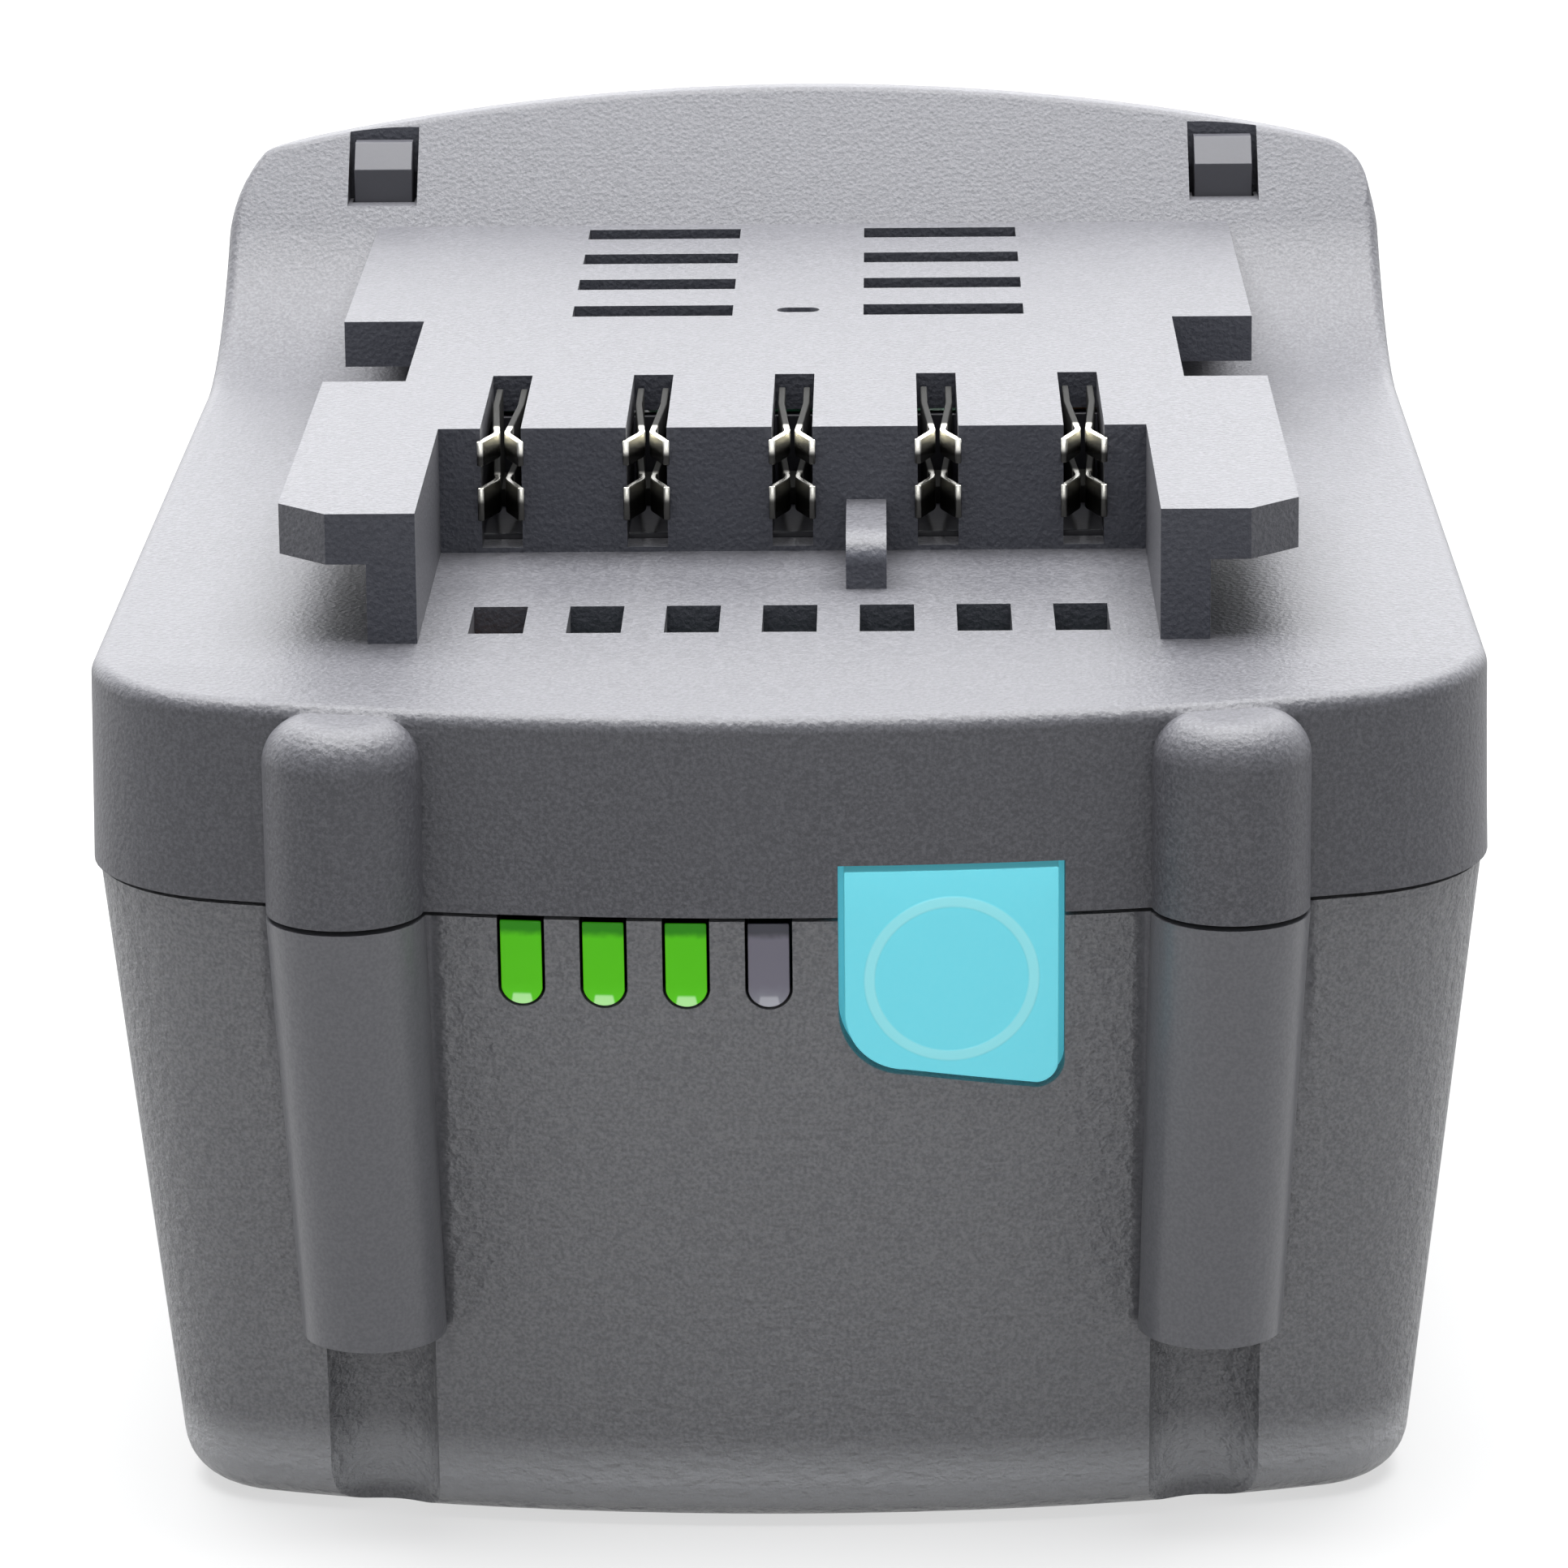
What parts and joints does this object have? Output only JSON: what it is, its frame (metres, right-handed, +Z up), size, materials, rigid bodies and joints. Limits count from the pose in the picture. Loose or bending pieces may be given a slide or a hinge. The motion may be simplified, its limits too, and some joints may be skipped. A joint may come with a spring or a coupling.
{
  "type": "power tool battery pack",
  "caption": "Slide-on battery pack: drafted two-part case with rails, keyed contact bay, charge button, level windows and a sprung release latch.",
  "frame": {"origin": "middle of the underside, at the centre of the pack's length and width", "axes": "+X to the right seen from the display end, +Y from the display end to the raised rear end, +Z up"},
  "size_m": [0.0784, 0.116, 0.064],
  "materials": {
    "upper_housing": "fine moulded grain, dark grey",
    "lower_housing": "fine leather grain, dark grey",
    "screw_steel": "plated steel",
    "button_blue": "smooth light blue",
    "circuit_board": "green solder mask",
    "lamp_resin": "clear resin lamps",
    "switch_black": "black moulding",
    "ribbon_film": "amber film",
    "foam_rubber": "soft black foam",
    "sensor_resin": "dark resin bead and leads",
    "holder_black": "black moulding",
    "copper_strip": "bare copper strip",
    "chip_black": "black resin blocks",
    "shunt_metal": "bare resistor metal",
    "fuse_ceramic": "white ceramic",
    "capacitor_can": "bare aluminium cans",
    "button_grey": "dark grey moulding",
    "latch_plastic": "grey glass-filled moulding",
    "frame_plastic": "black moulding",
    "cover_paper": "pale insulating sheet",
    "spring_steel": "bright spring wire",
    "cell_wrap": "plain green sleeve over steel can",
    "link_nickel": "nickel strip",
    "window_green": "clear green light guide",
    "window_clear": "clear light guide, unlit",
    "contact_nickel": "bright nickel plate"
  },
  "bodies": {
    "pack": {"upper_shell": "upper_housing", "lower_shell": "lower_housing", "case_screws": "screw_steel", "indicator_board": "circuit_board", "indicator_lamps": "lamp_resin", "switch_body": "switch_black", "indicator_ribbon": "ribbon_film", "frame_pads": "foam_rubber", "temperature_sensor": "sensor_resin", "main_board": "circuit_board", "board_screws": "screw_steel", "terminal_holder": "holder_black", "power_strap_plus": "copper_strip", "power_strap_minus": "copper_strip", "power_transistors": "chip_black", "control_chip": "chip_black", "current_shunt": "shunt_metal", "fuse": "fuse_ceramic", "balance_resistors": "chip_black", "capacitors": "capacitor_can", "cell_frame_left": "frame_plastic", "cell_frame_right": "frame_plastic", "cover_sheet_left": "cover_paper", "cover_sheet_right": "cover_paper", "latch_spring_left": "spring_steel", "latch_spring_right": "spring_steel", "cell_lower_1": "cell_wrap", "cell_upper_1": "cell_wrap", "cell_lower_2": "cell_wrap", "cell_upper_2": "cell_wrap", "cell_lower_3": "cell_wrap", "cell_upper_3": "cell_wrap", "cell_lower_4": "cell_wrap", "cell_upper_4": "cell_wrap", "cell_lower_5": "cell_wrap", "cell_upper_5": "cell_wrap", "link_plate_left_1": "link_nickel", "link_plate_left_2": "link_nickel", "link_plate_left_3": "link_nickel", "link_plate_right_1": "link_nickel", "link_plate_right_2": "link_nickel", "link_plate_right_3": "link_nickel", "level_window_1": "window_green", "level_window_2": "window_green", "level_window_3": "window_green", "level_window_4": "window_clear", "power_contact_plus": "contact_nickel", "signal_contact_left": "contact_nickel", "signal_contact_middle": "contact_nickel", "signal_contact_right": "contact_nickel", "power_contact_minus": "contact_nickel"},
    "button": {"charge_button": "button_blue"},
    "plunger": {"switch_plunger": "switch_black"},
    "release": {"release_button": "button_grey", "latch_bar": "latch_plastic"}
  },
  "joints": [
    {"name": "button_press", "type": "slide", "parent": "pack", "child": "button", "axis": [0, 1, 0], "range_m": [0, 0.0005], "stiffness_N_per_m": 1500, "springref_m": -0.0002},
    {"name": "switch_press", "type": "slide", "parent": "pack", "child": "plunger", "axis": [0, 1, 0], "range_m": [0, 0.0005]},
    {"name": "release_press", "type": "slide", "parent": "pack", "child": "release", "axis": [0, 0, -1], "range_m": [0, 0.004], "stiffness_N_per_m": 700, "springref_m": -0.002, "deforming": ["latch_spring_left", "latch_spring_right"]}
  ],
  "couplings": [
    {"joint": "switch_press", "follows": "button_press", "ratio": 1}
  ]
}
